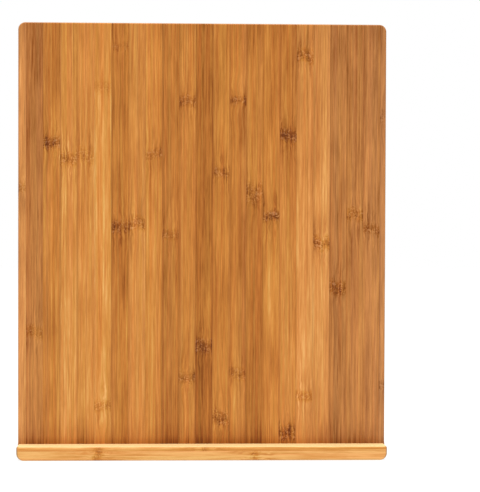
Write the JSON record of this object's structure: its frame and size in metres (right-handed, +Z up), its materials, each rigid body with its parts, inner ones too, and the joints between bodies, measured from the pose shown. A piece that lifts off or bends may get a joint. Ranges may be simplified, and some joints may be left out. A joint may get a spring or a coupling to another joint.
{
  "type": "book display stand",
  "caption": "Flat laminated bamboo board with a ledge along its lower front edge and a matching rail along its upper back edge, for resting a book on or hooking over a worktop.",
  "frame": {"origin": "bottom of the board, half way across its width and through its thickness", "axes": "+X along the width, to the right as seen from the front; the front, with the ledge, faces -Y; +Z up the board"},
  "size_m": [0.457, 0.044, 0.54],
  "materials": {
    "bamboo_light": "satin oiled bamboo, light golden strips",
    "bamboo_honey": "satin oiled bamboo, honey strips",
    "bamboo_amber": "satin oiled bamboo, amber strips",
    "bamboo_brown": "satin oiled bamboo, brown strips",
    "bamboo_core": "satin oiled bamboo, seen at the edges only",
    "bamboo_pale": "satin oiled bamboo, pale blond strips"
  },
  "bodies": {
    "root": {"front_stave_01": "bamboo_light", "front_stave_02": "bamboo_amber", "front_stave_03": "bamboo_amber", "front_stave_04": "bamboo_light", "front_stave_05": "bamboo_honey", "front_stave_06": "bamboo_light", "front_stave_07": "bamboo_amber", "front_stave_08": "bamboo_honey", "front_stave_09": "bamboo_honey", "front_stave_10": "bamboo_brown", "front_stave_11": "bamboo_amber", "front_stave_12": "bamboo_brown", "front_stave_13": "bamboo_amber", "front_stave_14": "bamboo_amber", "front_stave_15": "bamboo_brown", "front_stave_16": "bamboo_honey", "front_stave_17": "bamboo_honey", "front_stave_18": "bamboo_light", "front_stave_19": "bamboo_light", "front_stave_20": "bamboo_brown", "front_stave_21": "bamboo_amber", "front_stave_22": "bamboo_amber", "front_stave_23": "bamboo_honey", "core_ply": "bamboo_core", "back_stave_01": "bamboo_honey", "back_stave_02": "bamboo_amber", "back_stave_03": "bamboo_brown", "back_stave_04": "bamboo_honey", "back_stave_05": "bamboo_amber", "back_stave_06": "bamboo_honey", "back_stave_07": "bamboo_amber", "back_stave_08": "bamboo_brown", "back_stave_09": "bamboo_honey", "back_stave_10": "bamboo_amber", "back_stave_11": "bamboo_honey", "back_stave_12": "bamboo_amber", "back_stave_13": "bamboo_brown", "back_stave_14": "bamboo_honey", "back_stave_15": "bamboo_amber", "back_stave_16": "bamboo_honey", "back_stave_17": "bamboo_amber", "back_stave_18": "bamboo_brown", "back_stave_19": "bamboo_honey", "back_stave_20": "bamboo_amber", "back_stave_21": "bamboo_honey", "back_stave_22": "bamboo_amber", "ledge_upper_strip": "bamboo_pale", "ledge_lower_strip": "bamboo_pale", "rail_upper_strip": "bamboo_pale", "rail_lower_strip": "bamboo_pale"}
  },
  "joints": []
}
